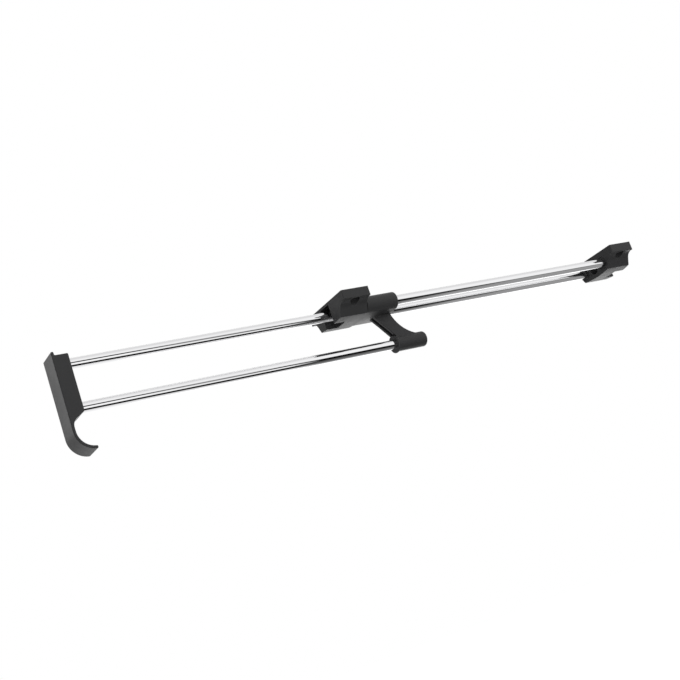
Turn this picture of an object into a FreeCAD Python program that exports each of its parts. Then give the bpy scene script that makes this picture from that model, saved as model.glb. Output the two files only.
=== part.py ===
import FreeCAD, Part
import math
import os

# Pull-out valet rod that is screwed up under a wardrobe shelf. Two brackets hold a pair of
# guide rods. A frame made of a grip, a pull rod, a hanging rod and a trolley slides on them.
# All sizes are in millimetres. +X points into the wardrobe, +Y to the left-hand side panel
# and +Z up. The origin is the centre of the front bracket's top face, which meets the shelf.
# The frame is drawn pulled all the way out, with its trolley against the front bracket.

# Rods
rod_radius = 4.0
rod_end_chamfer = 0.5
guide_rod_spacing = 26.0
rod_axis_drop = 10.9
hanging_rod_drop = 33.5
bracket_pitch = 293.4
pull_out_travel = 220.0
closed_gap = 0.4

# Brackets
bracket_length = 26.0
flange_half_width = 30.0
flange_thickness = 7.9
flange_edge_radius = 0.8
flange_root_flat = 2.0
side_wall_top_half_width = 23.0
side_wall_foot_half_width = 17.2
side_wall_foot_drop = 18.3
belly_drop = 19.6
belly_edge_fillet = 1.4
bracket_end_radius = 0.6
nose_bow = 1.6
nose_drop = 2.3
mouth_half_width = 7.0
mouth_depth = 9.0
mouth_roof = 2.7
mouth_corner_radius = 0.5
socket_end_wall = 4.0
guide_pin_setback = 9.0

# Shelf screw holes in the brackets
screw_hole_radius = 2.25
screw_hole_edge_distance = 5.1
screw_recess_radius = 4.2
screw_recess_roof = 3.9

# Pins that lock the rods in their sockets
pin_radius = 1.5
pin_end_cover = 1.0
pin_reach_past_rod = 1.2

# Fits
press_clearance = 0.02
socket_clearance = 0.03
running_clearance = 0.06
trolley_rest_gap = 0.3

# Bushes and buffers
pull_bush_wall = 1.4
pull_bush_collar = 1.0
pull_bush_collar_thickness = 1.0
trolley_bush_wall = 1.2
trolley_bush_length = 9.0
trolley_bore_relief = 0.5
buffer_thickness = 1.2
buffer_seat_depth = 0.9
buffer_ring_width = 2.0

# Trolley
trolley_length = 30.0
trolley_sleeve_radius = 7.2
trolley_deck_step = 0.7
trolley_belly_bulge = 1.0
trolley_end_radius = 0.8
pull_socket_end_wall = 6.0
arm_half_width = 4.0
arm_slot_half_width = 1.7
arm_slot_depth = 5.5
arm_root_front_setback = 11.2
arm_root_rear_setback = 28.6
arm_waist_drop_front = 17.3
arm_waist_setback_front = 19.3
arm_waist_drop_rear = 19.5
arm_waist_setback_rear = 34.8
arm_foot_front_setback = 26.8
arm_foot_rear_setback = 47.7
arm_foot_rear_rise = 5.2
arm_edge_radius = 0.5
lower_sleeve_radius = 6.4
lower_sleeve_front_setback = 24.4
lower_sleeve_length = 30.8
lower_sleeve_end_wall = 4.0
lower_sleeve_end_radius = 2.0
lower_collar_radius = 7.4
lower_collar_length = 1.6
lower_collar_edge_radius = 0.5
hanging_pin_setback = 17.0
pull_pin_setback = 12.0

# Grip
grip_width = 22.2
grip_block_depth = 10.1
grip_face_thickness = 2.2
grip_block_rise = 5.1
grip_face_step = 2.7
grip_block_foot_drop = 38.8
grip_neck_fall = 10.2
grip_neck_radius = 7.5
hook_straight_run = 3.0
hook_outer_radius = 15.0
hook_tip_reach = 2.4
grip_edge_radius = 0.7
grip_corner_radius = 0.9
grip_socket_end_wall = 1.8
grip_core_half_width = 6.5
grip_core_depth = 6.5
grip_core_rod_wall = 2.0

# Half a turn in degrees, and how closely two values agree when edges are picked
half_turn = 180.0
same_length = 0.01

# Places that follow from the sizes above
half_bracket = bracket_length / 2
half_spacing = guide_rod_spacing / 2
side_wall_lean = side_wall_top_half_width - side_wall_foot_half_width
side_wall_fall = side_wall_foot_drop - flange_thickness
side_wall_length = math.hypot(side_wall_lean, side_wall_fall)
root_half_corner = (math.pi / 2 + math.atan2(side_wall_lean, side_wall_fall)) / 2
flange_overhang = flange_half_width - side_wall_top_half_width
flange_root_run = min(flange_overhang, side_wall_length) - flange_root_flat
flange_root_fillet = flange_root_run * math.tan(root_half_corner)
trolley_deck_rise = trolley_sleeve_radius - trolley_deck_step
trolley_belly_drop = trolley_sleeve_radius + trolley_belly_bulge
grip_face_rise = grip_block_rise + grip_face_step
grip_neck_drop = grip_block_foot_drop + grip_neck_fall
hook_bend_drop = grip_neck_drop + hook_straight_run
screw_hole_offset = flange_half_width - screw_hole_edge_distance
rod_axis_z = -rod_axis_drop
hanging_axis_z = rod_axis_z - hanging_rod_drop
front_bracket_front_x = -half_bracket - nose_bow
grip_rear_x = front_bracket_front_x - closed_gap - pull_out_travel
buffer_front_x = half_bracket - buffer_seat_depth
buffer_outer_radius = rod_radius + running_clearance + buffer_ring_width
trolley_front_x = buffer_front_x + buffer_thickness + trolley_rest_gap
trolley_rear_x = trolley_front_x + trolley_length
lower_sleeve_front_x = trolley_front_x + lower_sleeve_front_setback
lower_sleeve_rear_x = lower_sleeve_front_x + lower_sleeve_length
pull_bush_outer_radius = rod_radius + running_clearance + pull_bush_wall
pull_bush_bore_radius = pull_bush_outer_radius + press_clearance
trolley_bush_outer_radius = rod_radius + running_clearance + trolley_bush_wall
socket_radius = rod_radius + socket_clearance
pin_hole_radius = pin_radius + press_clearance
pin_half_reach = rod_radius + pin_reach_past_rod
pin_low_z = rod_axis_z - pin_half_reach
guide_rod_start_x = -half_bracket + socket_end_wall
guide_rod_end_x = bracket_pitch + half_bracket - socket_end_wall
front_pin_x = guide_rod_start_x + guide_pin_setback
rear_pin_x = guide_rod_end_x - guide_pin_setback
rod_front_x = grip_rear_x - grip_block_depth - grip_face_thickness + grip_socket_end_wall
pull_rod_end_x = trolley_rear_x - pull_socket_end_wall
hanging_rod_end_x = lower_sleeve_rear_x - lower_sleeve_end_wall
grip_pin_x = (rod_front_x + grip_rear_x) / 2
pull_pin_x = trolley_front_x + pull_pin_setback
hanging_pin_x = lower_sleeve_front_x + hanging_pin_setback
trolley_bush_starts = (trolley_front_x, trolley_rear_x - trolley_bush_length)

os.makedirs("parts", exist_ok=True)


def vec(x, y, z):
    """Return the point or direction x, y, z."""
    return FreeCAD.Vector(x, y, z)


def rod_along_x(radius, start_x, end_x, y, z):
    """Return a cylinder along X between two x positions."""
    return Part.makeCylinder(radius, end_x - start_x, vec(start_x, y, z), vec(1, 0, 0))


def pin_along_z(radius, x, y, low_z, high_z):
    """Return a cylinder along Z between two heights."""
    return Part.makeCylinder(radius, high_z - low_z, vec(x, y, low_z), vec(0, 0, 1))


def pin_along_y(radius, x, z, low_y, high_y):
    """Return a cylinder along Y between two y positions."""
    return Part.makeCylinder(radius, high_y - low_y, vec(x, low_y, z), vec(0, 1, 0))


def block(low_x, high_x, low_y, high_y, low_z, high_z):
    """Return a box between two corners."""
    return Part.makeBox(high_x - low_x, high_y - low_y, high_z - low_z, vec(low_x, low_y, low_z))


def line(start, end):
    """Return a straight edge."""
    return Part.makeLine(start, end)


def arc(start, middle, end):
    """Return the arc edge through three points."""
    return Part.Arc(start, middle, end).toShape()


def prism(edges, direction):
    """Return the solid that the closed outline of edges sweeps along a direction."""
    return Part.Face(Part.Wire(edges)).extrude(direction)


def rounded(shape, radius, chosen):
    """Return the shape with the edges rounded for which chosen(edge) is true."""
    picked = [edge for edge in shape.Edges if chosen(edge)]
    return shape.makeFillet(radius, picked)


def runs_along(edge, direction):
    """Say whether an edge is a straight line along a direction."""
    if not isinstance(edge.Curve, Part.Line):
        return False
    return edge.tangentAt(edge.FirstParameter).cross(direction).Length < same_length


def at(value, place):
    """Say whether two lengths are the same."""
    return abs(value - place) < same_length


def save(shape, node):
    """Write one piece to its STEP file."""
    shape.exportStep("parts/" + node + ".step")


def chamfered_rod(start_x, end_x, y, z):
    """Return a steel rod along X with both ends chamfered."""
    rod = rod_along_x(rod_radius, start_x, end_x, y, z)
    ends = [edge for edge in rod.Edges if isinstance(edge.Curve, Part.Circle)]
    return rod.makeChamfer(rod_end_chamfer, ends)


def ring_along_x(outer_radius, inner_radius, start_x, end_x, y, z):
    """Return a tube along X."""
    outer = rod_along_x(outer_radius, start_x, end_x, y, z)
    return outer.cut(rod_along_x(inner_radius, start_x, end_x, y, z))


def bracket_section():
    """Return the edges of the bracket's section across the rods, at the tip of its nose."""
    x = -half_bracket - nose_bow
    left = [
        vec(x, flange_half_width, 0),
        vec(x, flange_half_width, -flange_thickness),
        vec(x, side_wall_top_half_width, -flange_thickness),
        vec(x, side_wall_foot_half_width, -side_wall_foot_drop),
    ]
    right = [vec(x, -point.y, point.z) for point in reversed(left)]
    edges = [line(left[i], left[i + 1]) for i in range(len(left) - 1)]
    edges.append(arc(left[-1], vec(x, 0, -belly_drop), right[0]))
    edges += [line(right[i], right[i + 1]) for i in range(len(right) - 1)]
    edges.append(line(right[-1], left[0]))
    return edges


def bracket_mouth():
    """Return the cutter for the recess at the bracket's outer end, open below."""
    cutter = block(
        -half_bracket - nose_bow - mouth_depth, -half_bracket + mouth_depth,
        -mouth_half_width, mouth_half_width,
        -belly_drop - mouth_depth, -mouth_roof)
    inner_x = -half_bracket + mouth_depth

    def inner_corner(edge):
        upright = runs_along(edge, vec(0, 0, 1)) and at(edge.CenterOfMass.x, inner_x)
        level = runs_along(edge, vec(0, 1, 0)) and at(edge.CenterOfMass.x, inner_x)
        return upright or (level and at(edge.CenterOfMass.z, -mouth_roof))

    return rounded(cutter, mouth_corner_radius, inner_corner)


def nose_trimmer():
    """Return the cutter that leaves a straight flange front above a nose bowed towards -X."""
    tip_x = -half_bracket - nose_bow
    bow_radius = (side_wall_top_half_width ** 2 + nose_bow ** 2) / (2 * nose_bow)
    low_z = -belly_drop - nose_drop
    reach_y = 2 * flange_half_width
    nose = pin_along_z(bow_radius, tip_x + bow_radius, 0, low_z, -nose_drop)
    return block(tip_x - nose_bow, -half_bracket, -reach_y, reach_y, low_z, nose_drop).cut(nose)


def make_bracket():
    """Return the bracket moulding about the origin, with its open mouth towards -X."""
    body = prism(bracket_section(), vec(bracket_length + nose_bow, 0, 0))
    along_x = vec(1, 0, 0)
    body = rounded(body, flange_root_fillet, lambda edge: (
        runs_along(edge, along_x) and at(abs(edge.CenterOfMass.y), side_wall_top_half_width)))
    body = rounded(body, belly_edge_fillet, lambda edge: (
        runs_along(edge, along_x) and at(abs(edge.CenterOfMass.y), side_wall_foot_half_width)
        and at(edge.CenterOfMass.z, -side_wall_foot_drop)))
    body = body.cut(nose_trimmer())
    body = rounded(body, flange_edge_radius, lambda edge: (
        at(abs(edge.CenterOfMass.y), flange_half_width) and not at(edge.CenterOfMass.z, 0)))
    body = rounded(body, bracket_end_radius, lambda edge: (
        at(edge.CenterOfMass.x, half_bracket) and not at(edge.CenterOfMass.z, 0)
        and at(edge.BoundBox.XLength, 0)))
    body = body.cut(bracket_mouth())
    body = body.cut(rod_along_x(
        pull_bush_bore_radius, -half_bracket + mouth_depth, half_bracket, 0, rod_axis_z))
    for side in (-1, 1):
        rod_y = side * half_spacing
        body = body.cut(rod_along_x(
            socket_radius, guide_rod_start_x, half_bracket, rod_y, rod_axis_z))
        body = body.cut(rod_along_x(
            buffer_outer_radius + press_clearance, buffer_front_x, half_bracket, rod_y, rod_axis_z))
        body = body.cut(pin_along_z(pin_hole_radius, front_pin_x, rod_y, pin_low_z, 0))
        hole_y = side * screw_hole_offset
        body = body.cut(pin_along_z(screw_hole_radius, 0, hole_y, -belly_drop, 0))
        body = body.cut(pin_along_z(screw_recess_radius, 0, hole_y, -belly_drop, -screw_recess_roof))
    return body


def make_bracket_pins(pin_x):
    """Return the two pins that lock the guide rods in a bracket."""
    pins = [
        pin_along_z(pin_radius, pin_x, side * half_spacing, pin_low_z, -pin_end_cover)
        for side in (-1, 1)
    ]
    return Part.makeCompound(pins)


def drill_guide_rod(rod, side):
    """Return a guide rod with its two cross holes for the bracket pins."""
    for pin_x in (front_pin_x, rear_pin_x):
        rod = rod.cut(pin_along_z(pin_hole_radius, pin_x, side * half_spacing, pin_low_z, 0))
    return rod


def make_trolley_deck():
    """Return the trolley's middle block and its two sleeves, before its bores."""
    x = trolley_front_x
    top = rod_axis_z + trolley_deck_rise
    foot = rod_axis_z - trolley_sleeve_radius
    corners = [
        vec(x, half_spacing, top),
        vec(x, half_spacing, foot),
        vec(x, -half_spacing, foot),
        vec(x, -half_spacing, top),
    ]
    edges = [
        line(corners[0], corners[1]),
        arc(corners[1], vec(x, 0, rod_axis_z - trolley_belly_drop), corners[2]),
        line(corners[2], corners[3]),
        line(corners[3], corners[0]),
    ]
    deck = prism(edges, vec(trolley_length, 0, 0))
    for side in (-1, 1):
        sleeve = rod_along_x(
            trolley_sleeve_radius, trolley_front_x, trolley_rear_x, side * half_spacing, rod_axis_z)
        deck = deck.fuse(sleeve)
    deck = deck.removeSplitter()
    return rounded(deck, trolley_end_radius, lambda edge: (
        at(edge.CenterOfMass.x, trolley_rear_x) and at(edge.BoundBox.XLength, 0)))


def arm_front_arc(shift, y):
    """Return the arc of the arm's hollow front edge, moved back by shift."""
    x = trolley_front_x + shift
    return arc(
        vec(x + arm_root_front_setback, y, rod_axis_z - trolley_sleeve_radius),
        vec(x + arm_waist_setback_front, y, rod_axis_z - arm_waist_drop_front),
        vec(x + arm_foot_front_setback, y, hanging_axis_z + lower_sleeve_radius))


def arm_rear_arc(y):
    """Return the arc of the arm's hollow rear edge."""
    x = trolley_front_x
    return arc(
        vec(x + arm_root_rear_setback, y, rod_axis_z - trolley_sleeve_radius),
        vec(x + arm_waist_setback_rear, y, rod_axis_z - arm_waist_drop_rear),
        vec(x + arm_foot_rear_setback, y, hanging_axis_z + arm_foot_rear_rise))


def joined_outline(front_edge, rear_edge, root_z, foot_z, y):
    """Return the closed outline between two edges that both run down from their start."""
    front_top = front_edge.firstVertex().Point
    front_foot = front_edge.lastVertex().Point
    rear_top = rear_edge.firstVertex().Point
    rear_foot = rear_edge.lastVertex().Point
    corners = [
        front_foot,
        vec(front_foot.x, y, foot_z),
        vec(rear_foot.x, y, foot_z),
        rear_foot,
    ]
    edges = [front_edge]
    edges += [line(corners[i], corners[i + 1]) for i in range(len(corners) - 1)]
    edges.append(rear_edge)
    edges.append(line(rear_top, vec(rear_top.x, y, root_z)))
    edges.append(line(vec(rear_top.x, y, root_z), vec(front_top.x, y, root_z)))
    edges.append(line(vec(front_top.x, y, root_z), front_top))
    return Part.__sortEdges__(edges)


def make_arm():
    """Return the curved arm that carries the lower sleeve, with its slot at the front."""
    y = -arm_half_width
    outline = joined_outline(
        arm_front_arc(0, y), arm_rear_arc(y), rod_axis_z, hanging_axis_z, y)
    arm = prism(outline, vec(0, 2 * arm_half_width, 0))
    arm = rounded(arm, arm_edge_radius, lambda edge: (
        at(abs(edge.CenterOfMass.y), arm_half_width) and isinstance(edge.Curve, Part.Circle)))
    y = -arm_slot_half_width
    front = arm_front_arc(-arm_slot_depth, y)
    back = arm_front_arc(arm_slot_depth, y)
    slot = Part.__sortEdges__([
        front,
        back,
        line(front.firstVertex().Point, back.firstVertex().Point),
        line(front.lastVertex().Point, back.lastVertex().Point),
    ])
    cutter = prism(slot, vec(0, 2 * arm_slot_half_width, 0))
    return arm.cut(cutter)


def make_lower_sleeve():
    """Return the closed sleeve and its mouth collar around the hanging rod's rear end."""
    sleeve = rod_along_x(
        lower_sleeve_radius, lower_sleeve_front_x, lower_sleeve_rear_x, 0, hanging_axis_z)
    sleeve = rounded(sleeve, lower_sleeve_end_radius, lambda edge: (
        isinstance(edge.Curve, Part.Circle) and at(edge.CenterOfMass.x, lower_sleeve_rear_x)))
    collar_end = lower_sleeve_front_x + lower_collar_length
    collar = rod_along_x(
        lower_collar_radius, lower_sleeve_front_x, collar_end, 0, hanging_axis_z)
    collar = rounded(collar, lower_collar_edge_radius, lambda edge: (
        isinstance(edge.Curve, Part.Circle)))
    return sleeve.fuse(collar)


def make_trolley():
    """Return the trolley moulding with its bores, sockets and pin holes."""
    body = make_trolley_deck().fuse([make_arm(), make_lower_sleeve()]).removeSplitter()
    for side in (-1, 1):
        rod_y = side * half_spacing
        bore_radius = rod_radius + trolley_bore_relief
        body = body.cut(rod_along_x(bore_radius, trolley_front_x, trolley_rear_x, rod_y, rod_axis_z))
        seat_radius = trolley_bush_outer_radius + press_clearance
        for start in trolley_bush_starts:
            end = start + trolley_bush_length
            body = body.cut(rod_along_x(seat_radius, start, end, rod_y, rod_axis_z))
    body = body.cut(rod_along_x(
        socket_radius, trolley_front_x, pull_rod_end_x, 0, rod_axis_z))
    body = body.cut(rod_along_x(
        socket_radius, lower_sleeve_front_x, hanging_rod_end_x, 0, hanging_axis_z))
    body = body.cut(pin_along_z(
        pin_hole_radius, pull_pin_x, 0, pin_low_z, rod_axis_z + trolley_deck_rise))
    return body.cut(pin_along_y(
        pin_hole_radius, hanging_pin_x, hanging_axis_z, -pin_half_reach, lower_sleeve_radius))


def grip_point(back, drop, y):
    """Return a point in front of the grip's rear face, at x 0, and below the pull rod's axis."""
    return vec(-back, y, rod_axis_z - drop)


def neck_places():
    """Return how far back and down the slope under the grip's block meets the neck's arc, and
    the same for the middle of that arc. The slope is tangent to the arc."""
    center_back = grip_block_depth - grip_neck_radius
    reach = math.hypot(center_back, grip_neck_fall)
    lean = math.acos(grip_neck_radius / reach) - math.atan2(center_back, grip_neck_fall)
    middle = (lean + math.pi / 2) / 2
    return [
        (center_back + grip_neck_radius * math.sin(turn),
         grip_neck_drop - grip_neck_radius * math.cos(turn))
        for turn in (lean, middle)
    ]


def grip_outline(y):
    """Return the closed side outline of the grip: block, face, neck and hook."""
    face_back = grip_block_depth + grip_face_thickness
    hook_center_back = face_back - hook_outer_radius
    hook_inner_radius = hook_outer_radius - grip_face_thickness
    tip_offset = hook_tip_reach + hook_center_back
    tip_outer_drop = hook_bend_drop + math.sqrt(hook_outer_radius ** 2 - tip_offset ** 2)
    tip_inner_drop = hook_bend_drop + math.sqrt(hook_inner_radius ** 2 - tip_offset ** 2)
    hook_half = math.sin(math.pi / 4)
    hook_outer_middle = grip_point(
        hook_center_back + hook_outer_radius * hook_half,
        hook_bend_drop + hook_outer_radius * hook_half, y)
    hook_inner_middle = grip_point(
        hook_center_back + hook_inner_radius * hook_half,
        hook_bend_drop + hook_inner_radius * hook_half, y)
    slope_foot, neck_middle = [grip_point(back, drop, y) for back, drop in neck_places()]
    face_top = grip_point(face_back, -grip_face_rise, y)
    face_foot = grip_point(face_back, hook_bend_drop, y)
    tip_outer = grip_point(-hook_tip_reach, tip_outer_drop, y)
    tip_inner = grip_point(-hook_tip_reach, tip_inner_drop, y)
    hook_start = grip_point(grip_block_depth, hook_bend_drop, y)
    neck_foot = grip_point(grip_block_depth, grip_neck_drop, y)
    block_foot = grip_point(0, grip_block_foot_drop, y)
    block_top = grip_point(0, -grip_block_rise, y)
    step = grip_point(grip_block_depth, -grip_block_rise, y)
    face_back_top = grip_point(grip_block_depth, -grip_face_rise, y)
    return [
        line(face_top, face_foot),
        arc(face_foot, hook_outer_middle, tip_outer),
        line(tip_outer, tip_inner),
        arc(tip_inner, hook_inner_middle, hook_start),
        line(hook_start, neck_foot),
        arc(neck_foot, neck_middle, slope_foot),
        line(slope_foot, block_foot),
        line(block_foot, block_top),
        line(block_top, step),
        line(step, face_back_top),
        line(face_back_top, face_top),
    ]


def make_grip():
    """Return the grip moulding with its rod sockets, pin holes and hollow back."""
    half_width = grip_width / 2
    body = prism(grip_outline(-half_width), vec(0, grip_width, 0))
    smooth_drops = [grip_neck_drop, hook_bend_drop] + [drop for back, drop in neck_places()]
    body = rounded(body, grip_corner_radius, lambda edge: (
        runs_along(edge, vec(0, 1, 0))
        and not any(at(edge.CenterOfMass.z, rod_axis_z - drop) for drop in smooth_drops)))
    body = rounded(body, grip_edge_radius, lambda edge: at(abs(edge.CenterOfMass.y), half_width))
    body.translate(vec(grip_rear_x, 0, 0))
    for axis_z in (rod_axis_z, hanging_axis_z):
        body = body.cut(rod_along_x(socket_radius, rod_front_x, grip_rear_x, 0, axis_z))
        body = body.cut(pin_along_y(
            pin_hole_radius, grip_pin_x, axis_z, -pin_half_reach, half_width))
    core_margin = rod_radius + grip_core_rod_wall
    core = block(
        grip_rear_x - grip_core_depth, grip_rear_x,
        -grip_core_half_width, grip_core_half_width,
        hanging_axis_z + core_margin, rod_axis_z - core_margin)
    return body.cut(core)


def make_pull_rod():
    """Return the upper sliding rod with a cross hole at each end."""
    rod = chamfered_rod(rod_front_x, pull_rod_end_x, 0, rod_axis_z)
    rod = rod.cut(pin_along_y(
        pin_hole_radius, grip_pin_x, rod_axis_z, -pin_half_reach, pin_half_reach))
    return rod.cut(pin_along_z(
        pin_hole_radius, pull_pin_x, 0, pin_low_z, rod_axis_z + pin_half_reach))


def make_hanging_rod():
    """Return the lower rod for hangers with a cross hole at each end."""
    rod = chamfered_rod(rod_front_x, hanging_rod_end_x, 0, hanging_axis_z)
    for pin_x in (grip_pin_x, hanging_pin_x):
        rod = rod.cut(pin_along_y(
            pin_hole_radius, pin_x, hanging_axis_z, -pin_half_reach, pin_half_reach))
    return rod


def make_pull_rod_bush():
    """Return the collared bush in the front bracket that the pull rod slides in."""
    bore_radius = rod_radius + running_clearance
    mouth_back_x = -half_bracket + mouth_depth
    barrel = ring_along_x(
        pull_bush_outer_radius, bore_radius, mouth_back_x, half_bracket, 0, rod_axis_z)
    collar = ring_along_x(
        pull_bush_outer_radius + pull_bush_collar, bore_radius,
        mouth_back_x - pull_bush_collar_thickness, mouth_back_x, 0, rod_axis_z)
    return barrel.fuse(collar).removeSplitter()


# Fixed pieces
save(make_bracket(), "front_bracket")
rear_bracket = make_bracket()
rear_bracket.rotate(vec(0, 0, 0), vec(0, 0, 1), half_turn)
rear_bracket.translate(vec(bracket_pitch, 0, 0))
save(rear_bracket, "rear_bracket")
save(make_bracket_pins(front_pin_x), "front_bracket_pins")
save(make_bracket_pins(rear_pin_x), "rear_bracket_pins")
save(make_pull_rod_bush(), "pull_rod_bush")

for side, name in ((-1, "right"), (1, "left")):
    rod_y = side * half_spacing
    guide_rod = chamfered_rod(guide_rod_start_x, guide_rod_end_x, rod_y, rod_axis_z)
    save(drill_guide_rod(guide_rod, side), "guide_rod_" + name)
    buffer = ring_along_x(
        buffer_outer_radius, rod_radius + running_clearance,
        buffer_front_x, buffer_front_x + buffer_thickness, rod_y, rod_axis_z)
    save(buffer, "buffer_" + name)
    for start, end_name in zip(trolley_bush_starts, ("front", "rear")):
        bush = ring_along_x(
            trolley_bush_outer_radius, rod_radius + running_clearance,
            start, start + trolley_bush_length, rod_y, rod_axis_z)
        save(bush, "trolley_bush_" + name + "_" + end_name)

# Sliding pieces
save(make_grip(), "grip")
save(make_pull_rod(), "pull_rod")
save(make_hanging_rod(), "hanging_rod")
save(make_trolley(), "trolley")
pin_outer_y = grip_width / 2 - pin_end_cover
save(pin_along_y(pin_radius, grip_pin_x, rod_axis_z, -pin_half_reach, pin_outer_y), "grip_pull_rod_pin")
save(pin_along_y(
    pin_radius, grip_pin_x, hanging_axis_z, -pin_half_reach, pin_outer_y), "grip_hanging_rod_pin")
save(pin_along_z(
    pin_radius, pull_pin_x, 0, pin_low_z,
    rod_axis_z + trolley_deck_rise - pin_end_cover), "trolley_pull_rod_pin")
save(pin_along_y(
    pin_radius, hanging_pin_x, hanging_axis_z, -pin_half_reach,
    lower_sleeve_radius - pin_end_cover), "trolley_hanging_rod_pin")
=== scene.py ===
"""Looks of a pull-out closet valet rod: chromed rods in black satin mouldings, in a pale studio."""
import logging
import math
from dataclasses import dataclass
from enum import Enum
from typing import Iterable, Optional, Sequence, Union

import bmesh
import bpy
from mathutils import Matrix, Vector


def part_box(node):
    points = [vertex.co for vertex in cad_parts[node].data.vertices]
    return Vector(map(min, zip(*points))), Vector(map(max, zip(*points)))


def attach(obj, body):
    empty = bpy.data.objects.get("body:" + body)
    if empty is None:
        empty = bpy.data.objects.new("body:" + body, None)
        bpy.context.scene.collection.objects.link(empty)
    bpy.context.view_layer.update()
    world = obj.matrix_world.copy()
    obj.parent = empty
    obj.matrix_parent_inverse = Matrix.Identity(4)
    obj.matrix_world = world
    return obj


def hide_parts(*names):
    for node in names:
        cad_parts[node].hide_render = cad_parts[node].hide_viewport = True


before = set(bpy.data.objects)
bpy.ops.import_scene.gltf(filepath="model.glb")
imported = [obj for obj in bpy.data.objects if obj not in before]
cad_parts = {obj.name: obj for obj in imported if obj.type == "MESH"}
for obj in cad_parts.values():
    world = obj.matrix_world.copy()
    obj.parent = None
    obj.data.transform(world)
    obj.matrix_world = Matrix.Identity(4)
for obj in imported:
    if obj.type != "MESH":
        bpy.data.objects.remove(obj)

MM = 0.001
LOG = logging.getLogger("valet_rod")

# A Mix node has a set of sockets for each kind of value. These are the ones for colours.
MIX_FIRST, MIX_SECOND, MIX_RESULT = 6, 7, 2
# A new colour ramp comes with two stops.
READY_STOPS = 2

Colour = tuple[float, float, float]
Point = tuple[float, float, float]
Ends = tuple[float, float]
Socket = bpy.types.NodeSocket
Value = Union[float, Sequence[float], Socket]


class Body(Enum):
    """The two bodies that the pieces ride on."""

    RAIL = "rail"
    CARRIAGE = "carriage"


class Slot(Enum):
    """The finishes that the record names."""

    MOULDING = "black_moulding"
    CHROME = "chrome_rod"
    PIN = "pin_steel"
    BUSH = "bush_plastic"
    BUFFER = "buffer_rubber"


def opaque(colour: Colour) -> tuple[float, float, float, float]:
    """Return a colour with full cover."""
    return (*colour, 1.0)


def grey(tone: float) -> tuple[float, float, float, float]:
    """Return an opaque grey."""
    return opaque((tone, tone, tone))


class ShaderNet:
    """Places and joins the nodes of one material, world or node group."""

    columns = 8
    column_width = 220
    row_height = 260

    def __init__(self, tree: bpy.types.NodeTree) -> None:
        """Start on an empty tree.

        Args:
            tree: the node tree to fill.
        """
        self.tree = tree
        self.tree.nodes.clear()
        self.placed = 0

    def node(self, kind: str, **settings: object) -> bpy.types.Node:
        """Add a node.

        Args:
            kind: the node's type name, without its ShaderNode prefix where it has one.
            settings: properties to set on the node.

        Returns:
            The new node.
        """
        name = kind if kind.startswith("NodeGroup") else "ShaderNode" + kind
        made = self.tree.nodes.new(name)
        row, column = divmod(self.placed, self.columns)
        made.location = (self.column_width * column, -self.row_height * row)
        self.placed += 1
        for key, value in settings.items():
            setattr(made, key, value)
        return made

    def feed(self, target: Socket, value: Value) -> None:
        """Set a socket to a number or join another socket to it.

        Args:
            target: the socket to feed.
            value: the number, the colour or the socket that feeds it.
        """
        if isinstance(value, bpy.types.NodeSocket):
            self.tree.links.new(value, target)
        else:
            target.default_value = value

    def math(self, operation: str, first: Value, second: Value = 0.0, clamp: bool = False) -> Socket:
        """Join two values with a Math node.

        Args:
            operation: the Math node's operation.
            first: the first value.
            second: the second value.
            clamp: whether the result stays within 0 and 1.

        Returns:
            The result.
        """
        made = self.node("Math", operation=operation, use_clamp=clamp)
        self.feed(made.inputs[0], first)
        self.feed(made.inputs[1], second)
        return made.outputs[0]

    def span(self, value: Value, low: float, high: float, new_low: Value, new_high: Value) -> Socket:
        """Map a value from one range to another, held at both ends.

        Args:
            value: the value to map.
            low: the value that becomes new_low.
            high: the value that becomes new_high.
            new_low: the result's lower end.
            new_high: the result's upper end.

        Returns:
            The mapped value.
        """
        made = self.node("MapRange", clamp=True)
        for index, item in enumerate((value, low, high, new_low, new_high)):
            self.feed(made.inputs[index], item)
        return made.outputs[0]

    def blend(self, factor: Value, first: Value, second: Value) -> Socket:
        """Mix two colours.

        Args:
            factor: how much of the second colour shows, from 0 to 1.
            first: the first colour.
            second: the second colour.

        Returns:
            The mixed colour.
        """
        made = self.node("Mix", data_type="RGBA")
        self.feed(made.inputs["Factor"], factor)
        self.feed(made.inputs[MIX_FIRST], first)
        self.feed(made.inputs[MIX_SECOND], second)
        return made.outputs[MIX_RESULT]

    def noise(self, vector: Socket, scale: Value, detail: float, roughness: float = 0.5) -> Socket:
        """Add a noise field.

        Args:
            vector: where the field is read.
            scale: how many waves it has per unit of the vector.
            detail: how many finer octaves it has.
            roughness: how strong the finer octaves are.

        Returns:
            The field's value.
        """
        made = self.node("TexNoise")
        self.feed(made.inputs["Vector"], vector)
        self.feed(made.inputs["Scale"], scale)
        self.feed(made.inputs["Detail"], detail)
        self.feed(made.inputs["Roughness"], roughness)
        return made.outputs["Fac"]

    def place(self) -> Socket:
        """Return the object's own coordinates, in metres."""
        return self.node("TexCoord").outputs["Object"]

    def group(self, tree: bpy.types.NodeTree, **inputs: Value) -> bpy.types.Node:
        """Place a node group and feed its inputs.

        Args:
            tree: the group's node tree.
            inputs: values by input name, with underscores for blanks.

        Returns:
            The group's node.
        """
        made = self.node("Group")
        made.node_tree = tree
        for name, value in inputs.items():
            self.feed(made.inputs[name.replace("_", " ")], value)
        return made


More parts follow.
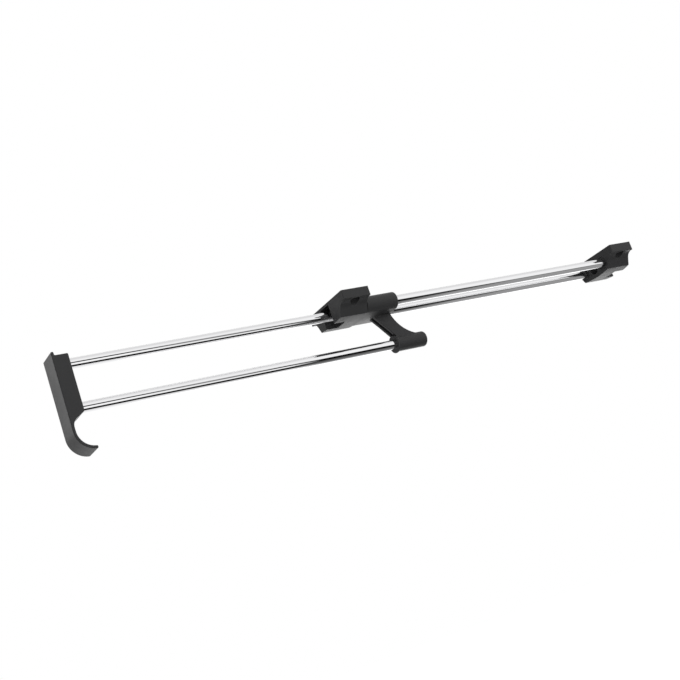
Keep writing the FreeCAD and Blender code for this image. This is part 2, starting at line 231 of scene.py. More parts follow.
class Effect:
    """A surface effect that finishes place as a node group, each with its own values."""

    name = "effect"
    takes: tuple[tuple[str, str, object], ...] = ()
    gives: tuple[tuple[str, str], ...] = ()

    def tree(self) -> bpy.types.NodeTree:
        """Find the effect's node group, or build it at its first use.

        Returns:
            The node group.
        """
        found = bpy.data.node_groups.get(self.name)
        if found is not None:
            return found
        made = bpy.data.node_groups.new(self.name, "ShaderNodeTree")
        for label, kind, default in self.takes:
            socket = made.interface.new_socket(name=label, in_out="INPUT", socket_type=kind)
            if default is not None:
                socket.default_value = default
        for label, kind in self.gives:
            made.interface.new_socket(name=label, in_out="OUTPUT", socket_type=kind)
        net = ShaderNet(made)
        source = net.node("NodeGroupInput")
        target = net.node("NodeGroupOutput")
        self.fill(net, source, target)
        return made

    def fill(self, net: ShaderNet, source: bpy.types.Node, target: bpy.types.Node) -> None:
        """Put the effect's nodes between its input and its output.

        Args:
            net: the group's node net.
            source: the group's input node.
            target: the group's output node.
        """
        raise NotImplementedError


class SoftEdges(Effect):
    """Rounded light on sharp rims, and a mask that is white along them."""

    name = "soft_edges"
    takes = (("Radius", "NodeSocketFloat", 0.0003), ("Reach", "NodeSocketFloat", 0.045))
    gives = (("Normal", "NodeSocketVector"), ("Rim", "NodeSocketFloat"))
    samples = 6

    def fill(self, net: ShaderNet, source: bpy.types.Node, target: bpy.types.Node) -> None:
        """Compare the rounded normal with the true one.

        Args:
            net: the group's node net.
            source: the group's input node.
            target: the group's output node.
        """
        rounded = net.node("Bevel", samples=self.samples)
        net.feed(rounded.inputs["Radius"], source.outputs["Radius"])
        plain = net.node("NewGeometry")
        turn = net.node("VectorMath", operation="DOT_PRODUCT")
        net.feed(turn.inputs[0], rounded.outputs["Normal"])
        net.feed(turn.inputs[1], plain.outputs["Normal"])
        bend = net.math("SUBTRACT", 1.0, turn.outputs["Value"])
        rim = net.math("DIVIDE", bend, source.outputs["Reach"], clamp=True)
        net.feed(target.inputs["Normal"], rounded.outputs["Normal"])
        net.feed(target.inputs["Rim"], rim)


class MouldGrain(Effect):
    """Height of a fine spark-eroded texture with a slower unevenness under it."""

    name = "mould_grain"
    takes = (
        ("Vector", "NodeSocketVector", None),
        ("Fine Scale", "NodeSocketFloat", 4200.0),
        ("Coarse Scale", "NodeSocketFloat", 420.0),
        ("Coarse Share", "NodeSocketFloat", 0.3),
    )
    gives = (("Height", "NodeSocketFloat"),)
    fine_detail = 2.0
    fine_roughness = 0.6
    coarse_detail = 1.0

    def fill(self, net: ShaderNet, source: bpy.types.Node, target: bpy.types.Node) -> None:
        """Add the slow field to the fine one.

        Args:
            net: the group's node net.
            source: the group's input node.
            target: the group's output node.
        """
        where = source.outputs["Vector"]
        fine = net.noise(where, source.outputs["Fine Scale"], self.fine_detail, self.fine_roughness)
        coarse = net.noise(where, source.outputs["Coarse Scale"], self.coarse_detail)
        share = net.math("MULTIPLY", coarse, source.outputs["Coarse Share"])
        net.feed(target.inputs["Height"], net.math("ADD", fine, share))


class ToneDrift(Effect):
    """A slow, cloudy change of value from place to place."""

    name = "tone_drift"
    takes = (
        ("Vector", "NodeSocketVector", None),
        ("Scale", "NodeSocketFloat", 60.0),
        ("Low", "NodeSocketFloat", 0.0),
        ("High", "NodeSocketFloat", 1.0),
    )
    gives = (("Value", "NodeSocketFloat"),)
    detail = 4.0
    roughness = 0.55
    window: Ends = (0.3, 0.7)

    def fill(self, net: ShaderNet, source: bpy.types.Node, target: bpy.types.Node) -> None:
        """Spread a soft noise between the two ends.

        Args:
            net: the group's node net.
            source: the group's input node.
            target: the group's output node.
        """
        cloud = net.noise(source.outputs["Vector"], source.outputs["Scale"], self.detail, self.roughness)
        drift = net.span(cloud, *self.window, source.outputs["Low"], source.outputs["High"])
        net.feed(target.inputs["Value"], drift)


class DrawLines(Effect):
    """Fine lines that run along the rods, as drawing, polishing and sliding leave them."""

    name = "draw_lines"
    takes = (
        ("Vector", "NodeSocketVector", None),
        ("Across", "NodeSocketFloat", 2600.0),
        ("Along", "NodeSocketFloat", 9.0),
    )
    gives = (("Line", "NodeSocketFloat"),)
    detail = 3.0
    roughness = 0.65

    def fill(self, net: ShaderNet, source: bpy.types.Node, target: bpy.types.Node) -> None:
        """Stretch a noise field along X.

        Args:
            net: the group's node net.
            source: the group's input node.
            target: the group's output node.
        """
        parts = net.node("SeparateXYZ")
        net.feed(parts.inputs[0], source.outputs["Vector"])
        joined = net.node("CombineXYZ")
        for index, label in enumerate(("Along", "Across", "Across")):
            stretched = net.math("MULTIPLY", parts.outputs[index], source.outputs[label])
            net.feed(joined.inputs[index], stretched)
        lines = net.noise(joined.outputs[0], 1.0, self.detail, self.roughness)
        net.feed(target.inputs["Line"], lines)


class DustSpecks(Effect):
    """Sparse pale specks that lie on a surface."""

    name = "dust_specks"
    takes = (
        ("Vector", "NodeSocketVector", None),
        ("Scale", "NodeSocketFloat", 700.0),
        ("Size", "NodeSocketFloat", 0.12),
    )
    gives = (("Speck", "NodeSocketFloat"),)
    empty_share = 0.82

    def fill(self, net: ShaderNet, source: bpy.types.Node, target: bpy.types.Node) -> None:
        """Keep only the middle of a few scattered cells.

        Args:
            net: the group's node net.
            source: the group's input node.
            target: the group's output node.
        """
        cells = net.node("TexVoronoi")
        net.feed(cells.inputs["Vector"], source.outputs["Vector"])
        net.feed(cells.inputs["Scale"], source.outputs["Scale"])
        near = net.math("LESS_THAN", cells.outputs["Distance"], source.outputs["Size"])
        parts = net.node("SeparateColor")
        net.feed(parts.inputs[0], cells.outputs["Color"])
        few = net.math("GREATER_THAN", parts.outputs[0], self.empty_share)
        net.feed(target.inputs["Speck"], net.math("MULTIPLY", near, few))


@dataclass(frozen=True)
class Finish:
    """A named material finish."""

    label: str

    def start(self) -> tuple[bpy.types.Material, ShaderNet, bpy.types.Node]:
        """Make the material with its output and shader.

        Returns:
            The material, its node net and its Principled BSDF.
        """
        material = bpy.data.materials.new(self.label)
        material.use_nodes = True
        net = ShaderNet(material.node_tree)
        shader = net.node("BsdfPrincipled")
        output = net.node("OutputMaterial")
        net.feed(output.inputs["Surface"], shader.outputs["BSDF"])
        return material, net, shader

    def bump(self, net: ShaderNet, height: Socket, depth: float, strength: float,
             normal: Optional[Socket] = None) -> Socket:
        """Turn a height into a normal.

        Args:
            net: the material's node net.
            height: the height field.
            depth: how far the surface moves, in metres.
            strength: how strongly it shows.
            normal: the normal that the bump starts from.

        Returns:
            The bumped normal.
        """
        made = net.node("Bump")
        net.feed(made.inputs["Strength"], strength)
        net.feed(made.inputs["Distance"], depth)
        net.feed(made.inputs["Height"], height)
        if normal is not None:
            net.feed(made.inputs["Normal"], normal)
        return made.outputs["Normal"]

    def build(self) -> bpy.types.Material:
        """Return the finished material."""
        raise NotImplementedError


@dataclass(frozen=True)
class MouldedPlastic(Finish):
    """Black satin moulding with a fine eroded grain, rims painted lighter in patches as a highlight and
    as rub wear, and a little dust.
    """

    colour: Colour = (0.0255, 0.0255, 0.0265)
    # Lighter colour painted on the rims as a highlight, in patches that also stand for rub wear.
    painted_rim_highlight_colour: Colour = (0.085, 0.085, 0.087)
    dust_colour: Colour = (0.2, 0.2, 0.19)
    roughness: Ends = (0.42, 0.5)
    roughness_scale: float = 55.0
    rim_radius: float = 0.00045
    # Noise patches that spread the painted rim highlight and rub wear.
    wear_and_highlight_scale: float = 900.0
    wear_and_highlight_detail: float = 3.0
    wear_and_highlight_window: Ends = (0.36, 0.60)
    wear_and_highlight_share: Ends = (0.15, 0.9)
    dust_scale: float = 520.0
    dust_size: float = 0.08
    dust_share: float = 0.25
    grain_depth: float = 0.00003
    grain_strength: float = 0.5
    ior: float = 1.5
    specular_level: float = 0.4

    def build(self) -> bpy.types.Material:
        """Make the moulding's material.

        Returns:
            The material.
        """
        material, net, shader = self.start()
        where = net.place()
        edges = net.group(SoftEdges().tree(), Radius=self.rim_radius)
        drift = net.group(ToneDrift().tree(), Vector=where, Scale=self.roughness_scale,
                          Low=self.roughness[0], High=self.roughness[1])
        grain = net.group(MouldGrain().tree(), Vector=where)
        dust = net.group(DustSpecks().tree(), Vector=where, Scale=self.dust_scale, Size=self.dust_size)
        patches = net.span(net.noise(where, self.wear_and_highlight_scale, self.wear_and_highlight_detail),
                           *self.wear_and_highlight_window, *self.wear_and_highlight_share)
        # The rims are painted lighter in patches: partly rub wear, partly a painted highlight where
        # rounded edges catch light.
        rim_wear_and_highlight = net.math("MULTIPLY", edges.outputs["Rim"], patches)
        body = net.blend(rim_wear_and_highlight, opaque(self.colour), opaque(self.painted_rim_highlight_colour))
        dusty = net.math("MULTIPLY", dust.outputs["Speck"], self.dust_share)
        net.feed(shader.inputs["Base Color"], net.blend(dusty, body, opaque(self.dust_colour)))
        net.feed(shader.inputs["Roughness"], drift.outputs["Value"])
        net.feed(shader.inputs["IOR"], self.ior)
        net.feed(shader.inputs["Specular IOR Level"], self.specular_level)
        normal = self.bump(net, grain.outputs["Height"], self.grain_depth, self.grain_strength,
                           edges.outputs["Normal"])
        net.feed(shader.inputs["Normal"], normal)
        return material


@dataclass(frozen=True)
class ChromePlate(Finish):
    """Bright chrome on drawn bar, with hair-fine lines along it."""

    colour: Colour = (0.93, 0.93, 0.94)
    dull_share: float = 0.975
    tone_window: Ends = (0.3, 0.7)
    roughness: Ends = (0.015, 0.035)
    roughness_window: Ends = (0.35, 0.7)
    smear_roughness: float = 0.02
    smear_scale: float = 90.0
    line_depth: float = 0.000002
    line_strength: float = 0.25

    def build(self) -> bpy.types.Material:
        """Make the rods' material.

        Returns:
            The material.
        """
        material, net, shader = self.start()
        where = net.place()
        lines = net.group(DrawLines().tree(), Vector=where)
        smear = net.group(ToneDrift().tree(), Vector=where, Scale=self.smear_scale,
                          Low=0.0, High=self.smear_roughness)
        base = net.span(lines.outputs["Line"], *self.roughness_window, *self.roughness)
        net.feed(shader.inputs["Roughness"], net.math("ADD", base, smear.outputs["Value"]))
        tone = net.span(lines.outputs["Line"], *self.tone_window, 0.0, 1.0)
        dull = tuple(self.dull_share * part for part in self.colour)
        net.feed(shader.inputs["Base Color"], net.blend(tone, opaque(self.colour), opaque(dull)))
        net.feed(shader.inputs["Metallic"], 1.0)
        normal = self.bump(net, lines.outputs["Line"], self.line_depth, self.line_strength)
        net.feed(shader.inputs["Normal"], normal)
        return material


@dataclass(frozen=True)
class GroundSteel(Finish):
    """Bare ground steel of the lock pins."""

    colour: Colour = (0.56, 0.56, 0.57)
    dull_colour: Colour = (0.4, 0.39, 0.38)
    dull_share: float = 0.3
    dull_scale: float = 300.0
    roughness: Ends = (0.22, 0.42)
    scratch_scale: float = 5200.0
    scratch_detail: float = 2.0
    scratch_roughness: float = 0.7
    scratch_window: Ends = (0.3, 0.7)
    scratch_depth: float = 0.00001
    scratch_strength: float = 0.3

    def build(self) -> bpy.types.Material:
        """Make the pins' material.

        Returns:
            The material.
        """
        material, net, shader = self.start()
        where = net.place()
        scratch = net.noise(where, self.scratch_scale, self.scratch_detail, self.scratch_roughness)
        net.feed(shader.inputs["Roughness"], net.span(scratch, *self.scratch_window, *self.roughness))
        tone = net.group(ToneDrift().tree(), Vector=where, Scale=self.dull_scale,
                         Low=0.0, High=self.dull_share)
        net.feed(shader.inputs["Base Color"],
                 net.blend(tone.outputs["Value"], opaque(self.colour), opaque(self.dull_colour)))
        net.feed(shader.inputs["Metallic"], 1.0)
        normal = self.bump(net, scratch, self.scratch_depth, self.scratch_strength)
        net.feed(shader.inputs["Normal"], normal)
        return material


@dataclass(frozen=True)
class SleevePlastic(Finish):
    """Dark, slightly waxy bearing plastic of the bushes, with a highlight painted on its rims."""

    colour: Colour = (0.02, 0.02, 0.021)
    # Lighter colour painted along the rims as a highlight.
    painted_rim_highlight_colour: Colour = (0.05, 0.05, 0.05)
    rim_radius: float = 0.00015
    roughness: Ends = (0.28, 0.4)
    roughness_scale: float = 240.0
    fine_scale: float = 7000.0
    coarse_scale: float = 900.0
    grain_depth: float = 0.00001
    grain_strength: float = 0.4

    def build(self) -> bpy.types.Material:
        """Make the bushes' material.

        Returns:
            The material.
        """
        material, net, shader = self.start()
        where = net.place()
        edges = net.group(SoftEdges().tree(), Radius=self.rim_radius)
        cloud = net.group(ToneDrift().tree(), Vector=where, Scale=self.roughness_scale,
                          Low=self.roughness[0], High=self.roughness[1])
        turned = net.group(MouldGrain().tree(), Vector=where,
                           Fine_Scale=self.fine_scale, Coarse_Scale=self.coarse_scale)
        # Painted highlight: the rims are painted lighter than the rest.
        net.feed(shader.inputs["Base Color"],
                 net.blend(edges.outputs["Rim"], opaque(self.colour), opaque(self.painted_rim_highlight_colour)))
        net.feed(shader.inputs["Roughness"], cloud.outputs["Value"])
        normal = self.bump(net, turned.outputs["Height"], self.grain_depth, self.grain_strength,
                           edges.outputs["Normal"])
        net.feed(shader.inputs["Normal"], normal)
        return material


@dataclass(frozen=True)
class SoftRubber(Finish):
    """Matt black rubber of the buffers."""

    colour: Colour = (0.014, 0.014, 0.014)
    bloom_colour: Colour = (0.026, 0.025, 0.024)
    bloom_scale: float = 400.0
    roughness: Ends = (0.72, 0.86)
    fine_scale: float = 6000.0
    coarse_scale: float = 1500.0
    grain_depth: float = 0.00002
    grain_strength: float = 0.6

    def build(self) -> bpy.types.Material:
        """Make the buffers' material.

        Returns:
            The material.
        """
        material, net, shader = self.start()
        where = net.place()
        bloom = net.group(ToneDrift().tree(), Vector=where, Scale=self.bloom_scale, Low=0.0, High=1.0)
        grain = net.group(MouldGrain().tree(), Vector=where,
                          Fine_Scale=self.fine_scale, Coarse_Scale=self.coarse_scale)
        net.feed(shader.inputs["Base Color"],
                 net.blend(bloom.outputs["Value"], opaque(self.colour), opaque(self.bloom_colour)))
        net.feed(shader.inputs["Roughness"], net.span(bloom.outputs["Value"], 0.0, 1.0, *self.roughness))
        normal = self.bump(net, grain.outputs["Height"], self.grain_depth, self.grain_strength)
        net.feed(shader.inputs["Normal"], normal)
        return material


FINISHES: dict[Slot, Finish] = {
    Slot.MOULDING: MouldedPlastic("satin_moulding"),
    Slot.CHROME: ChromePlate("chrome_plate"),
    Slot.PIN: GroundSteel("ground_steel"),
    Slot.BUSH: SleevePlastic("bearing_plastic"),
    Slot.BUFFER: SoftRubber("soft_rubber"),
}


class Paintbox:
    """Keeps one material for each finish."""

    def __init__(self) -> None:
        """Start with no material made."""
        self.made: dict[Slot, bpy.types.Material] = {}

    def get(self, slot: Slot) -> bpy.types.Material:
        """Find a finish's material, or build it at its first use.

        Args:
            slot: the finish.

        Returns:
            The material.
        """
        if slot not in self.made:
            self.made[slot] = FINISHES[slot].build()
        return self.made[slot]

    def dress(self, piece: bpy.types.Object, slot: Slot) -> None:
        """Give a piece one finish on all its faces.

        Args:
            piece: the piece to dress.
            slot: the finish to give it.
        """
        if not piece.material_slots:
            piece.data.materials.append(None)
        for holder in piece.material_slots:
            holder.material = self.get(slot)


class PieceMaker:
    """Shapes one new piece in a bmesh, in millimetres, and hands it to the scene."""

    merge_distance = 0.0005
    sharp_angle = math.radians(32)

    def __init__(self) -> None:
        """Start with an empty mesh."""
        self.mesh = bmesh.new()

    def bevel(self, edges: list[bmesh.types.BMEdge], offset: float, segments: int) -> None:
        """Bevel edges of the mesh.

        Args:
            edges: the edges to bevel.
            offset: how far the bevel goes in from each edge.
            segments: how many faces it has across.
        """
        bmesh.ops.bevel(
            self.mesh, geom=edges, offset=offset, offset_type="OFFSET", segments=segments,
            profile=0.5, affect="EDGES", clamp_overlap=True, material=-1)

    def finish(self, name: str, body: Body, slot: Slot, paint: Paintbox,
               stands_for: Iterable[str] = ()) -> bpy.types.Object:
        """Turn the bmesh into a scene piece.

        Args:
            name: the piece's name.
            body: the body it rides on.
            slot: its finish.
            paint: the materials.
            stands_for: the CAD nodes it replaces.

        Returns:
            The finished piece.
        """
        bmesh.ops.remove_doubles(self.mesh, verts=self.mesh.verts, dist=self.merge_distance)
        bmesh.ops.recalc_face_normals(self.mesh, faces=self.mesh.faces)
        bmesh.ops.scale(self.mesh, vec=(MM, MM, MM), verts=self.mesh.verts)
        data = bpy.data.meshes.new(name)
        self.mesh.to_mesh(data)
        self.mesh.free()
        data.shade_smooth()
        data.set_sharp_from_angle(angle=self.sharp_angle)
        piece = bpy.data.objects.new(name, data)
        bpy.context.scene.collection.objects.link(piece)
        weighted = piece.modifiers.new("even_shading", "WEIGHTED_NORMAL")
        weighted.keep_sharp = True
        paint.dress(piece, slot)
        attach(piece, body.value)
        names = list(stands_for)
        if names:
            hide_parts(*names)
        LOG.info("%s: %d faces on %s", name, len(data.polygons), body.value)
        return piece


@dataclass
class ChromedBar:
    """One chromed bar along X with turned ends, from its CAD node's box.

    Sizes are in millimetres, and the angle is in degrees.
    """

    node: str
    body: Body
    end_chamfer: float = 0.5
    end_round: float = 0.15
    end_round_segments: int = 3
    turned_edge_angle: float = 20.0
    segments: int = 128

    def build(self, paint: Paintbox) -> bpy.types.Object:
        """Shape and dress the bar.

        Args:
            paint: the materials.

        Returns:
            The bar.
        """
        low, high = (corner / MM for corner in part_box(self.node))
        centre = (low + high) / 2
        radius = (high.z - low.z) / 2
        maker = PieceMaker()
        turn = Matrix.Rotation(math.pi / 2, 4, "Y")
        bmesh.ops.create_cone(
            maker.mesh, cap_ends=True, segments=self.segments, radius1=radius, radius2=radius,
            depth=high.x - low.x, matrix=Matrix.Translation(centre) @ turn)
        # Only the two end faces have more than four corners.
        rims = [edge for edge in maker.mesh.edges
                if any(len(face.verts) > 4 for face in edge.link_faces)]
        maker.bevel(rims, self.end_chamfer, 1)
        least_angle = math.radians(self.turned_edge_angle)
        turned = [edge for edge in maker.mesh.edges if edge.calc_face_angle(0.0) > least_angle]
        maker.bevel(turned, self.end_round, self.end_round_segments)
        return maker.finish("chromed_" + self.node, self.body, Slot.CHROME, paint, [self.node])


@dataclass
class CoreRibs:
    """The ribs that cross the grip's hollow back, between its two rods.

    Sizes are in millimetres. The hollow opens towards +X, and a rib stops short of its mouth.
    """

    wall: float = 1.2
    half_width: float = 6.5
    depth: float = 6.5
    mouth_gap: float = 1.3
    rod_wall: float = 2.0
    levels: int = 2
    rounding: float = 0.3
    rounding_segments: int = 2

    def add_bar(self, maker: PieceMaker, low: Vector, high: Vector) -> None:
        """Add one rounded bar between two corners.

        Args:
            maker: the mesh under way.
            low: the bar's lowest corner.
            high: the bar's highest corner.
        """
        place = Matrix.Translation((low + high) / 2) @ Matrix.Diagonal((*(high - low), 1.0))
        made = bmesh.ops.create_cube(maker.mesh, size=1.0, matrix=place)
        edges = list({edge for vert in made["verts"] for edge in vert.link_edges})
        maker.bevel(edges, self.rounding, self.rounding_segments)

    def build(self, paint: Paintbox) -> bpy.types.Object:
        """Shape and dress the ribs.

        Args:
            paint: the materials.

        Returns:
            The ribs.
        """
        grip_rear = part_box("grip")[1].x / MM
        pull_rod_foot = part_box("pull_rod")[0].z / MM
        hanging_rod_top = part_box("hanging_rod")[1].z / MM
        front, back = grip_rear - self.depth, grip_rear - self.mouth_gap
        bottom, top = hanging_rod_top + self.rod_wall, pull_rod_foot - self.rod_wall
        half_wall = self.wall / 2
        maker = PieceMaker()
        self.add_bar(maker, Vector((front, -half_wall, bottom)), Vector((back, half_wall, top)))
        for level in range(1, self.levels + 1):
            height = bottom + (top - bottom) * level / (self.levels + 1)
            for side in (-1, 1):
                near, far = sorted((side * half_wall, side * self.half_width))
                self.add_bar(maker, Vector((front, near, height - half_wall)),
                             Vector((back, far, height + half_wall)))
        return maker.finish("grip_core_ribs", Body.CARRIAGE, Slot.MOULDING, paint)


class CarriedNodes:
    """The CAD nodes that keep their own shape and get a finer finish."""

    slots: dict[Slot, tuple[str, ...]] = {
        Slot.MOULDING: ("front_bracket", "rear_bracket", "grip", "trolley"),
        Slot.PIN: ("front_bracket_pins", "rear_bracket_pins", "grip_pull_rod_pin",
                   "grip_hanging_rod_pin", "trolley_pull_rod_pin", "trolley_hanging_rod_pin"),
        Slot.BUSH: ("pull_rod_bush", "trolley_bush_right_front", "trolley_bush_right_rear",
                    "trolley_bush_left_front", "trolley_bush_left_rear"),
        Slot.BUFFER: ("buffer_right", "buffer_left"),
    }

    def dress(self, paint: Paintbox) -> None:
        """Dress every carried node.

        Args:
            paint: the materials.
        """
        for slot, names in self.slots.items():
            for name in names:
                paint.dress(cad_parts[name], slot)
                LOG.info("%s keeps its shape and takes %s", name, slot.value)


@dataclass(frozen=True)
class MirrorBands:
    """What gloss and bright metal show where reflected rays reach one amount towards +X.

    The reach is the X part of a ray's direction. Places run with its turn about X, from 0 at +Y
    over the top at 0.25 and -Y at 0.5 to the ground at 0.75. The pale wall has a dark strip of its
    own near +Y. A dark slot may come next, and then a dark flag and the ground.
    """

    reach: float
    flag: Ends
    ground: tuple[float, float, float, float]
    slot: Optional[Ends] = None
    flag_tone: float = 0.004
    slot_tone: float = 0.02
    gap_tone: float = 1.0
    edge: float = 0.006
    wall: tuple[Ends, ...] = (
        (0.000, 1.00), (0.032, 1.00), (0.044, 0.08), (0.082, 0.08), (0.100, 0.92), (0.150, 0.86),
        (0.255, 0.73), (0.340, 0.84), (0.410, 0.95), (0.460, 0.95))
    ground_places: tuple[float, float, float] = (0.790, 0.860, 0.920)

    def strip(self, ends: Ends, tone: float, before: float, after: float) -> list[Ends]:
        """Work out the stops of one strip with its two soft edges.

        Args:
            ends: where the strip starts and ends.
            tone: the strip's tone.
            before: the tone ahead of it.
            after: the tone behind it.

        Returns:
            Places and their tones.
        """
        start, end = ends
        return [(start - self.edge, before), (start + self.edge, tone),
                (end - self.edge, tone), (end + self.edge, after)]

    def stops(self) -> list[Ends]:
        """Work out the whole row.

        Returns:
            Places and their tones.
        """
        row = list(self.wall)
        before_flag = self.wall[-1][1]
        if self.slot is not None:
            row += self.strip(self.slot, self.slot_tone, before_flag, self.gap_tone)
            before_flag = self.gap_tone
        row += self.strip(self.flag, self.flag_tone, before_flag, self.ground[0])
        row += list(zip(self.ground_places, self.ground[1:]))
        return row


@dataclass(frozen=True)
class SoftLamp:
    """One soft lamp, with places and sizes in metres and its power in watts."""

    name: str
    place: Point
    aim: Point
    size: Ends
    watts: float
    in_gloss: bool = True

    def hang(self) -> None:
        """Hang the lamp and point it at its aim."""
        data = bpy.data.lights.new(self.name, "AREA")
        data.shape = "RECTANGLE"
        data.size, data.size_y = self.size
        data.energy = self.watts
        lamp = bpy.data.objects.new(self.name, data)
        bpy.context.scene.collection.objects.link(lamp)
        place, aim = Vector(self.place), Vector(self.aim)
        lamp.location = place
        lamp.rotation_mode = "QUATERNION"
        lamp.rotation_quaternion = (aim - place).to_track_quat("-Z", "Y")
        lamp.visible_camera = False
        lamp.visible_glossy = self.in_gloss


OBJECT_MIDDLE: Point = (0.03, 0.0, -0.04)
GRIP_FACE: Point = (-0.25, 0.0, -0.04)


@dataclass(frozen=True)
class Studio:
    """Pale floor, even surroundings and soft lamps, in metres."""

    floor_height: float = -1.25
    floor_half_size: float = 30.0
    floor_cells: int = 4
    floor_tones: Ends = (0.78, 0.82)
    floor_cloud_scale: float = 3.0
    floor_cloud_detail: float = 2.0
    floor_glow: float = 0.6
    surroundings: float = 0.62
    # The reaches run from what the grip's end of the rods mirrors to what their rear end does, as
    # the product camera sees them.
    mirror_bands: tuple[MirrorBands, ...] = (
        MirrorBands(0.360, (0.632, 0.740), (0.70, 0.85, 0.95, 1.00), slot=(0.470, 0.532)),
        MirrorBands(0.478, (0.638, 0.762), (0.50, 0.72, 0.88, 1.00), slot=(0.506, 0.576)),
        MirrorBands(0.500, (0.533, 0.650), (0.05, 0.17, 0.46, 0.85)),
        MirrorBands(0.548, (0.536, 0.650), (0.09, 0.22, 0.36, 0.70)),
        MirrorBands(0.572, (0.549, 0.662), (0.10, 0.34, 0.50, 0.80)),
        MirrorBands(0.598, (0.549, 0.652), (0.28, 0.36, 0.50, 0.80), flag_tone=0.05),
        MirrorBands(0.620, (0.556, 0.616), (0.26, 0.33, 0.48, 0.75), flag_tone=0.04),
        MirrorBands(0.640, (0.560, 0.604), (0.34, 0.30, 0.48, 0.75), flag_tone=0.17),
    )
    # Towards -X the bands are dim: their share there, and the reaches of full and of no dimming.
    dim_share: float = 0.45
    dim_reaches: Ends = (-0.42, -0.30)
    lamps: tuple[SoftLamp, ...] = (
        SoftLamp("fill_lamp", (-0.3, -1.4, 0.8), OBJECT_MIDDLE, (1.2, 1.2), 1.2),
        SoftLamp("low_fill_lamp", (-0.2, -1.3, -0.75), OBJECT_MIDDLE, (1.2, 1.2), 4.5, in_gloss=False),
        SoftLamp("under_lamp", (0.80, 0.84, -0.28), OBJECT_MIDDLE, (1.3, 0.35), 2.0),
        SoftLamp("grip_softbox", (-0.43, 0.26, 0.12), GRIP_FACE, (0.16, 0.26), 0.28),
    )

    def floor_paint(self) -> bpy.types.Material:
        """Make the floor's matt paint, which also glows to the eye so that it looks pale.

        Returns:
            The material.
        """
        material = bpy.data.materials.new("floor_paint")
        material.use_nodes = True
        net = ShaderNet(material.node_tree)
        matt = net.node("BsdfDiffuse")
        cloud = net.noise(net.place(), self.floor_cloud_scale, self.floor_cloud_detail)
        low, high = self.floor_tones
        net.feed(matt.inputs["Color"], net.blend(cloud, grey(low), grey(high)))
        glow = net.node("Emission")
        path = net.node("LightPath")
        seen = net.math("MAXIMUM", path.outputs["Is Camera Ray"],
                        net.math("MAXIMUM", path.outputs["Is Glossy Ray"],
                                 path.outputs["Is Transmission Ray"]))
        net.feed(glow.inputs["Strength"], net.math("MULTIPLY", seen, self.floor_glow))
        both = net.node("AddShader")
        net.feed(both.inputs[0], matt.outputs[0])
        net.feed(both.inputs[1], glow.outputs[0])
        output = net.node("OutputMaterial")
        net.feed(output.inputs["Surface"], both.outputs[0])
        return material

    def make_floor(self) -> None:
        """Lay the floor."""
        mesh = bmesh.new()
        bmesh.ops.create_grid(
            mesh, x_segments=self.floor_cells, y_segments=self.floor_cells,
            size=self.floor_half_size, matrix=Matrix.Translation((0, 0, self.floor_height)))
        data = bpy.data.meshes.new("floor")
        mesh.to_mesh(data)
        mesh.free()
        floor = bpy.data.objects.new("floor", data)
        bpy.context.scene.collection.objects.link(floor)
        data.materials.append(self.floor_paint())
        floor.visible_glossy = False

    def band(self, net: ShaderNet, place: Socket, tones: Sequence[Ends]) -> Socket:
        """Read a row of grey tones.

        Args:
            net: the world's node net.
            place: where to read it, from 0 to 1.
            tones: the places and their tones.

        Returns:
            The tone at that place.
        """
        ramp = net.node("ValToRGB")
        net.feed(ramp.inputs[0], place)
        stops = ramp.color_ramp.elements
        for index, (start, tone) in enumerate(tones):
            stop = stops[index] if index < READY_STOPS else stops.new(start)
            stop.position = start
            stop.color = grey(tone)
        return ramp.outputs[0]

    def mirrored(self, net: ShaderNet) -> Socket:
        """Blend the rows of bands by reach and dim them towards -X.

        Args:
            net: the world's node net.

        Returns:
            The colour that gloss and bright metal show.
        """
        parts = net.node("SeparateXYZ")
        net.feed(parts.inputs[0], net.node("TexCoord").outputs["Generated"])
        towards_x = parts.outputs[0]
        turn = net.math("ARCTAN2", net.math("MULTIPLY", parts.outputs[2], -1.0),
                        net.math("MULTIPLY", parts.outputs[1], -1.0))
        place = net.span(turn, -math.pi, math.pi, 0.0, 1.0)
        first = self.mirror_bands[0]
        reach, bands = first.reach, self.band(net, place, first.stops())
        for row in self.mirror_bands[1:]:
            share = net.span(towards_x, reach, row.reach, 0.0, 1.0)
            bands = net.blend(share, bands, self.band(net, place, row.stops()))
            reach = row.reach
        dimmed = net.node("VectorMath", operation="SCALE")
        net.feed(dimmed.inputs[0], bands)
        net.feed(dimmed.inputs["Scale"], net.span(towards_x, *self.dim_reaches, self.dim_share, 1.0))
        return dimmed.outputs[0]

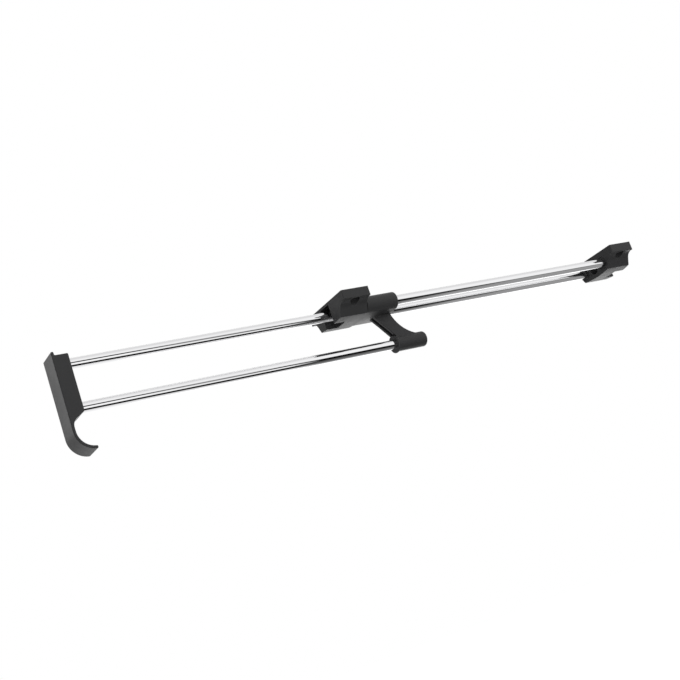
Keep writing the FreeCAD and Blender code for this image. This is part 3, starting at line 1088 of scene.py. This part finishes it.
    def make_world(self) -> None:
        """Set even surroundings, white to the eye and banded in gloss and bright metal."""
        world = bpy.data.worlds.new("surroundings")
        bpy.context.scene.world = world
        world.use_nodes = True
        net = ShaderNet(world.node_tree)
        bands = self.mirrored(net)
        path = net.node("LightPath")
        mirror = net.math("MAXIMUM", path.outputs["Is Glossy Ray"], path.outputs["Is Transmission Ray"])
        banded = net.blend(mirror, grey(self.surroundings), bands)
        background = net.node("Background")
        net.feed(background.inputs["Color"],
                 net.blend(path.outputs["Is Camera Ray"], banded, grey(1.0)))
        output = net.node("OutputWorld")
        net.feed(output.inputs["Surface"], background.outputs[0])

    def build(self) -> None:
        """Set up the floor, the surroundings and the lamps."""
        self.make_floor()
        self.make_world()
        for lamp in self.lamps:
            lamp.hang()
        LOG.info("studio set up with %d lamps", len(self.lamps))


@dataclass(frozen=True)
class ProductCamera:
    """The camera that looks up at the part from its front right.

    Its place and clipping are in metres, its lens and sensor in millimetres.
    """

    place: Point = (-0.51101, -0.79946, -0.25251)
    right: Point = (0.84009, -0.43877, -0.31907)
    up: Point = (0.16348, -0.35598, 0.92004)
    back: Point = (-0.51725, -0.82509, -0.22729)
    lens: float = 63.543
    sensor: float = 36.0
    shift: Ends = (-0.000735, 0.000735)
    clipping: Ends = (0.01, 200.0)

    def build(self) -> None:
        """Set up the camera and make it the scene's."""
        data = bpy.data.cameras.new("product_camera")
        data.lens = self.lens
        data.sensor_width = self.sensor
        data.shift_x, data.shift_y = self.shift
        data.clip_start, data.clip_end = self.clipping
        camera = bpy.data.objects.new("product_camera", data)
        bpy.context.scene.collection.objects.link(camera)
        columns = Matrix((self.right, self.up, self.back)).transposed()
        camera.rotation_mode = "QUATERNION"
        camera.rotation_quaternion = columns.to_quaternion()
        camera.location = self.place
        bpy.context.scene.camera = camera


def main() -> None:
    """Build the studio, the new pieces and the finishes in order."""
    logging.basicConfig(level=logging.INFO, format="%(name)s: %(message)s")
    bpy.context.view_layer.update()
    bpy.context.scene.view_settings.view_transform = "Standard"
    ProductCamera().build()
    Studio().build()
    paint = Paintbox()
    CarriedNodes().dress(paint)
    for bar in (
        ChromedBar("guide_rod_right", Body.RAIL),
        ChromedBar("guide_rod_left", Body.RAIL),
        ChromedBar("pull_rod", Body.CARRIAGE),
        ChromedBar("hanging_rod", Body.CARRIAGE),
    ):
        bar.build(paint)
    CoreRibs().build(paint)


if __name__ == "__main__":
    main()
